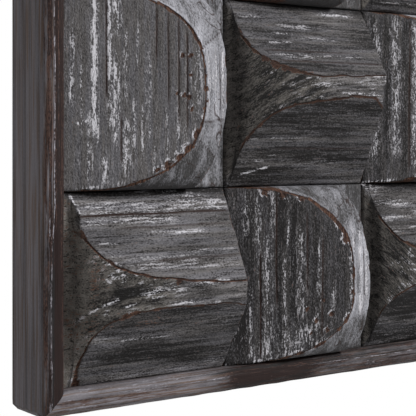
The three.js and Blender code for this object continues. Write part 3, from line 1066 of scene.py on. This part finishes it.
def bar_surface(half_length, is_rail, seed):
    """A bar as the section carried along its length: each point of the section runs between the two mitres,
    which stop it short by its distance in from the outer face, and near the ends the outer face curves in
    along the panel's round corners. Gives places along, in and out, and the grid's marks."""
    section_in, section_out = bar_section()
    share = np.linspace(-1, 1, bar_lines)
    share = 0.8 * share + 0.2 * share**3

    def curved_in(distance, along):
        """Distance in from the outer line, squeezed inwards where the corner's circle cuts the line."""
        past = np.clip(np.abs(along) - (half_length - corner_round), 0, corner_round)
        cut = corner_round - np.sqrt(corner_round**2 - past**2)
        return distance + cut * (1 - distance / bar_width)

    end = half_length - section_in
    for _ in range(mitre_rounds):
        end = half_length - curved_in(section_in, end)
    along = share[:, None] * (end - mitre_gap)
    inward = curved_in(section_in + np.zeros_like(along), along)
    outward = section_out + np.zeros_like(along)

    # Where the rubbed front and its inner edge lie, and the unevenness of rubbing and flecks.
    girth = np.concatenate([[0], np.cumsum(np.hypot(np.diff(section_in), np.diff(section_out)))])
    around = girth + np.zeros_like(along)
    uneven = unevenness(along, around, seed)
    across = section_in + 0.5 * waver(along / 35, 0.5, seed + 2)
    front_start = bar_depth - outer_round + (0 if is_rail else stile_front_in)
    front = rise(section_out, front_start, front_start + front_fade) + np.zeros_like(along)
    inner = rise(across, bar_width - inner_round - 1.5, bar_width - inner_round + 0.5) * front
    rubbing = rise(uneven(36, 1.7, 6), -0.7, 0.4)
    flecked = 0.6 * uneven(16, 1.6, 7) + 0.4 * uneven(5, 0.9, 8)

    def line(place, width, gaps):
        """A bell across the front at a distance in, broken along the bar by an unevenness."""
        gapped = rise(waver(along / 22, place, seed + 3), gaps, gaps + 0.5)
        return front * bell(across - place, width) * gapped

    if is_rail:
        pale_stretch = rise(np.cos(2 * math.pi * (along + 0.5 * pale_spacing) / pale_spacing), -0.15, 0.45)
        dark_stretch = rise(along, *dark_start) * (1 - rise(along, *dark_end))
        inner_tone = 0.2 + 0.55 * pale_stretch + 0.24 * flecked - 0.2 * dark_stretch
        front_tone = 0.38 + 0.34 * flecked + 0.24 * pale_stretch - 0.5 * dark_stretch
        tone = 0.5 + front * (part_way(front_tone, inner_tone, inner) - 0.5)
        red = (0.2 + 0.5 * rubbing) * (1 - pale_stretch * (0.3 + 0.5 * inner)) * (1 - 0.2 * inner)
        red = front * (red + 0.25 * dark_stretch)
        paint = np.maximum(0.36 * line(12.5, 0.8, -0.5), 0.3 * line(6, 3, 0))
        paint = np.maximum(paint, 0.22 * inner * pale_stretch) * (1 - 0.8 * dark_stretch)
    else:
        edge = 1 - rise(across, 7, 9)
        shaded = rise(along, *shade_start)
        front_tone = 0.16 + 0.2 * waver(along / 90, 0.5, seed + 9) + 0.3 * edge
        front_tone = front_tone - shaded * (0.1 + 0.9 * bell(across - 11, 3.2))
        tone = 0.68 + front * (front_tone + 0.3 * flecked - 0.68)
        red = np.maximum((0.65 + 0.3 * rubbing) * rise(across, 8, 9.5), (0.3 + 0.5 * rubbing) * edge)
        red = front * red
        paint = np.maximum(0.44 * line(9.4 - 2.6 * shaded, 0.6, -1.2), 0.34 * line(18.4, 0.5, 0))
        paint = np.maximum(paint, 0.36 * line(5.8, 1, 0.1))
    streaky = 0.16 * uneven(140, 1.7, 4) + 0.1 * uneven(70, 4, 5)
    # Long streaks, and painted shade: darker within 3 mm of the wall, where the bar meets it.
    tone = tone + streaky * (1.6 - 0.3 * front) - 0.3 * (1 - rise(section_out, 0.5, 3))

    # Fibres raised outwards on the front and sideways on the outer and the inner face.
    fibre = 0.14 * uneven(50, 2.2, 0) + 0.4 * front * uneven(14, 2.4, 1)
    lift = fibre * rise(section_out, 1, 4)
    turned = rise(section_out, bar_depth - outer_round, bar_depth)
    faces_out = 1 - 2 * rise(section_in, 0.3 * bar_width, 0.7 * bar_width)
    outward = outward + lift * turned
    inward = inward - lift * (1 - turned) * faces_out
    marks = {
        "grain": np.stack([along + bar_grain_apart * seed, around, inward], axis=-1),
        "tone": tone,
        "paint": paint,
        "red": red,
    }
    return along, inward, outward, marks


def frame_bar(name, half_length, half_span, is_rail, corner_signs, seed):
    """A closed mesh of one bar: the carried section, joined round, with a face over each mitred end. The
    corner signs turn the bar's own places along and in into the panel's x and z."""
    along, inward, outward, marks = bar_surface(half_length, is_rail, seed)
    (along_x, along_z), (out_x, out_z) = corner_signs
    x = along_x * along + out_x * (half_span - inward)
    z = along_z * along + out_z * (half_span - inward)
    points = np.stack([x, -outward, z], axis=-1).reshape(-1, 3)
    lines, steps = along.shape
    number = np.arange(lines * steps).reshape(lines, steps)
    caps = [number[0].tolist(), number[-1][::-1].tolist()]
    return shaped(name, points, faces_between(number, np.roll(number, -1, axis=1)) + caps, marks)


def frame_finish():
    """Stained bar: grey as light as the tone, with long lines, turning to dark red brown with flecks where
    the front is rubbed, and pale where paint was left along the planed edges."""
    stain_dark = (0.014, 0.012, 0.012, 1)
    stain_light = (0.206, 0.191, 0.208, 1)
    stain_brown = (0.15, 0.105, 0.085, 1)
    dark_brown = (0.018, 0.0095, 0.0085, 1)
    red_brown = (0.078, 0.044, 0.035, 1)
    pale_dull = (0.2, 0.19, 0.21, 1)
    pale_bright = (0.41, 0.395, 0.44, 1)
    wood = Finish("stained frame wood")
    grain = wood.mark("grain", "Vector")
    broad = wood.noise(grain, (180, 7, 20), 3, 0.5)
    lines = wood.noise(grain, (90, 0.9, 6), 3)
    streaks = wood.noise(grain, (70, 1.6, 9), 3)
    dashes = wood.noise(grain, (12, 1.1, 4), 5, 0.62)
    specks = wood.noise(grain, (2.2, 0.9, 2), 3)
    depth = wood.swing(wood.mark("tone"), (lines, 0.9), (broad, 0.5), (specks, 0.5))
    light = wood.blend(wood.between(streaks, 0.47, 0.62), stain_light, stain_brown)
    colour = wood.blend(depth, stain_dark, light)
    rub = wood.between(wood.swing(wood.mark("red"), (dashes, 1.6)), 0.3, 0.7)
    grit = wood.swing(lines, (dashes, 1), (specks, 0.9), (wood.mark("tone"), 0.3))
    rust = wood.blend(wood.between(grit, 0.42, 0.64), dark_brown, red_brown)
    colour = wood.blend(rub, colour, rust)
    laid = wood.worked("ADD", wood.swing(dashes, (specks, 0.5)), wood.mark("paint"))
    silvered = wood.between(laid, 0.74, 0.95)
    colour = wood.blend(silvered, colour, wood.blend(wood.between(laid, 0.8, 1.1), pale_dull, pale_bright))
    relief = wood.swing(lines, (dashes, 0.6), (specks, 0.3))
    roughness = wood.between(depth, 0, 1, 0.72, 0.58)
    return wood.finish(colour, roughness, relief, 0.0005)


bar_finish = frame_finish()
half_width = cad_high.x / millimetre
half_height = cad_high.z / millimetre
bars = {
    "bottom_rail": (half_width, half_height, True, ((1, 0), (0, -1)), 1),
    "left_stile": (half_height, half_width, False, ((0, -1), (-1, 0)), 2),
    "top_rail": (half_width, half_height, True, ((-1, 0), (0, 1)), 3),
    "right_stile": (half_height, half_width, False, ((0, 1), (1, 0)), 4),
}
for node, (half_length, half_span, is_rail, corner_signs, seed) in bars.items():
    piece = frame_bar("finished_" + node, half_length, half_span, is_rail, corner_signs, seed)
    dress(piece, node, bar_finish)

# Floor, light and camera
# A pale floor well below the hung panel, a broad lamp from the upper right, and a level camera at the
# panel's lower left corner.
floor_drop = 1200
floor_half = 1500
paper_spot = 0.3
paper_grey = (0.78, 0.78, 0.78, 1)
paper_white = (0.84, 0.84, 0.84, 1)
floor_corners = np.array([(-1, -1), (1, -1), (1, 1), (-1, 1)]) * floor_half
floor_points = np.column_stack([floor_corners, np.full(4, -floor_drop)])
floor = shaped("studio_floor", floor_points, [(0, 1, 2, 3)], {})
paper = Finish("pale paper")
paper_spots = paper.noise(paper.place(), (paper_spot, paper_spot, paper_spot), 2)
paper_colour = paper.blend(paper_spots, paper_grey, paper_white)
floor.data.materials.append(paper.finish(paper_colour, 0.9, paper_spots, 0.001))

lamp_place = np.array((1, -1.75, 1.25))
lamp_aim = np.array((-0.1, 0, -0.1))
lamp_data = bpy.data.lights.new("upper_lamp", "AREA")
lamp_data.size = 0.7
lamp_data.energy = 66
facing = lamp_aim - lamp_place
lamp = bpy.data.objects.new("upper_lamp", lamp_data)
lamp.location = lamp_place
lamp.rotation_euler.x = math.atan2(math.hypot(facing[0], facing[1]), -facing[2])
lamp.rotation_euler.z = math.atan2(-facing[0], facing[1])
bpy.context.scene.collection.objects.link(lamp)

white = (1, 1, 1, 1)
room_strength = 0.4
studio = bpy.data.worlds.new("white studio")
studio.use_nodes = True
nodes = studio.node_tree.nodes
backdrop = nodes["Background"]
room = nodes.new("ShaderNodeBackground")
chooser = nodes.new("ShaderNodeMixShader")
rays = nodes.new("ShaderNodeLightPath")
backdrop.inputs["Color"].default_value = white
room.inputs["Color"].default_value = white
room.inputs["Strength"].default_value = room_strength
world_links = (
    (rays.outputs["Is Camera Ray"], chooser.inputs[0]),
    (room.outputs[0], chooser.inputs[1]),
    (backdrop.outputs[0], chooser.inputs[2]),
    (chooser.outputs[0], nodes["World Output"].inputs["Surface"]),
)
for output, taker in world_links:
    studio.node_tree.links.new(output, taker)
bpy.context.scene.world = studio
bpy.context.scene.view_settings.view_transform = "Standard"

picture_width = 416
focal_pixels = 1199
horizon_pixel = 141.5
turned_right = math.radians(36.32)
camera_place = (-0.7243, -0.7966, -0.1134)
camera_data = bpy.data.cameras.new("camera")
camera_data.sensor_width = 36
camera_data.lens = focal_pixels / picture_width * camera_data.sensor_width
camera_data.shift_y = (horizon_pixel - picture_width / 2) / picture_width
camera = bpy.data.objects.new("camera", camera_data)
camera.location = camera_place
camera.rotation_euler = (math.pi / 2, 0, -turned_right)
bpy.context.scene.collection.objects.link(camera)
bpy.context.scene.camera = camera
